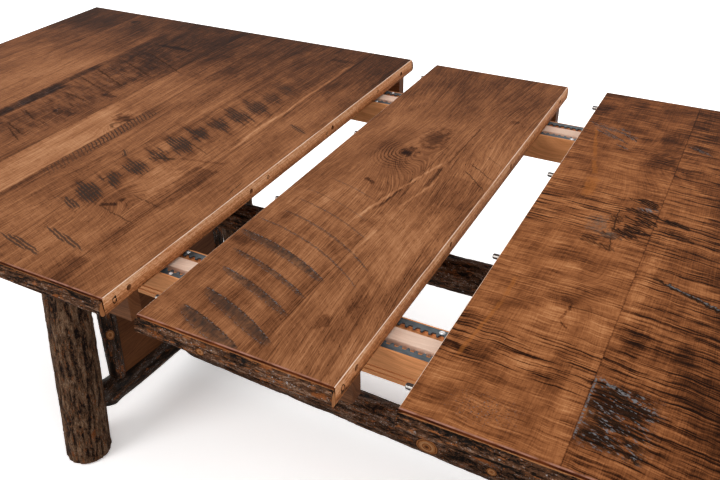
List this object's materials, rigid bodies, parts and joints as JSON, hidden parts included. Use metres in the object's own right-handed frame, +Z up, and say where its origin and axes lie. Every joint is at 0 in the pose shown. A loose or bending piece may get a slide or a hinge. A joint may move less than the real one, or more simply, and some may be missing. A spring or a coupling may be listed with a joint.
{
  "type": "extension dining table",
  "caption": "Rustic bark-edged log trestle dining table whose two plank tops draw apart on geared slides to take a loose leaf.",
  "frame": {"origin": "on the floor under the middle of the table", "axes": "+X along the table towards the half with the pins, +Y towards the table's back edge, +Z up"},
  "size_m": [2.6474, 1.1414, 0.745],
  "materials": {
    "top_wood": "satin lacquer over brown-stained, band-sawn planks",
    "apron_wood": "satin",
    "edge_bark": "furrowed bark, clear coated",
    "leg_bark": "shaggy hickory bark, clear coated",
    "pole_bark": "smooth young hickory bark, clear coated",
    "panel_wood": "satin, stained",
    "bolster_wood": "satin",
    "slide_wood": "oiled maple",
    "centre_rail_wood": "oiled maple",
    "rack_steel": "blued, dull",
    "gear_steel": "dull",
    "screw_steel": "zinc plated",
    "pin_steel": "satin",
    "glide_nylon": "matte"
  },
  "bodies": {
    "base": {"bolster_left": "bolster_wood", "bolster_right": "bolster_wood", "bolster_screws": "screw_steel", "centre_rail_back": "centre_rail_wood", "centre_rail_front": "centre_rail_wood", "leg_back_left": "leg_bark", "leg_back_right": "leg_bark", "leg_front_left": "leg_bark", "leg_front_right": "leg_bark", "leg_glides": "glide_nylon", "long_pole_high": "pole_bark", "long_pole_low": "pole_bark", "panel_left": "panel_wood", "panel_right": "panel_wood", "pinion_studs": "screw_steel", "post_back_left": "pole_bark", "post_back_right": "pole_bark", "post_front_left": "pole_bark", "post_front_right": "pole_bark", "stretcher_left": "pole_bark", "stretcher_right": "pole_bark", "upper_rail_left": "pole_bark", "upper_rail_right": "pole_bark"},
    "left_top": {"left_top_apron_back": "apron_wood", "left_top_apron_end": "apron_wood", "left_top_apron_front": "apron_wood", "left_top_bark_back": "edge_bark", "left_top_bark_end": "edge_bark", "left_top_bark_front": "edge_bark", "left_top_planks": "top_wood", "left_top_rack_back": "rack_steel", "left_top_rack_front": "rack_steel", "left_top_screws": "screw_steel", "left_top_rail_back": "slide_wood", "left_top_rail_front": "slide_wood", "left_top_rail_packers": "slide_wood"},
    "right_top": {"right_top_apron_back": "apron_wood", "right_top_apron_end": "apron_wood", "right_top_apron_front": "apron_wood", "right_top_bark_back": "edge_bark", "right_top_bark_end": "edge_bark", "right_top_bark_front": "edge_bark", "right_top_planks": "top_wood", "right_top_rack_back": "rack_steel", "right_top_rack_front": "rack_steel", "right_top_screws": "screw_steel", "right_top_rail_back": "slide_wood", "right_top_rail_front": "slide_wood", "right_top_rail_packers": "slide_wood", "right_top_pins": "pin_steel"},
    "leaf": {"leaf_bark_back": "edge_bark", "leaf_bark_front": "edge_bark", "leaf_cleats": "slide_wood", "leaf_pins": "pin_steel", "leaf_planks": "top_wood", "leaf_skirt_back": "apron_wood", "leaf_skirt_front": "apron_wood"},
    "pinion_front": {"pinion_front": "gear_steel"},
    "pinion_back": {"pinion_back": "gear_steel"}
  },
  "joints": [
    {"name": "left_top_slide", "type": "slide", "parent": "base", "child": "left_top", "axis": [-1, 0, 0], "range_m": [-0.0692, 0.12]},
    {"name": "right_top_slide", "type": "slide", "parent": "base", "child": "right_top", "axis": [1, 0, 0], "range_m": [-0.0692, 0.12]},
    {"name": "pinion_front_spin", "type": "hinge", "parent": "base", "child": "pinion_front", "pos_m": [0, -0.3905, 0.705], "axis": [0, 0, 1], "range_deg": [-290, 180]},
    {"name": "pinion_back_spin", "type": "hinge", "parent": "base", "child": "pinion_back", "pos_m": [0, 0.3905, 0.705], "axis": [0, 0, 1], "range_deg": [-180, 290]},
    {"name": "leaf_lift", "type": "slide", "parent": "base", "child": "leaf", "axis": [0, 0, 1], "range_m": [0, 0.25]}
  ],
  "couplings": [
    {"joint": "right_top_slide", "follows": "left_top_slide", "ratio": 1},
    {"joint": "pinion_front_spin", "follows": "left_top_slide", "rad_per_m": -41.667},
    {"joint": "pinion_back_spin", "follows": "left_top_slide", "rad_per_m": 41.667}
  ]
}
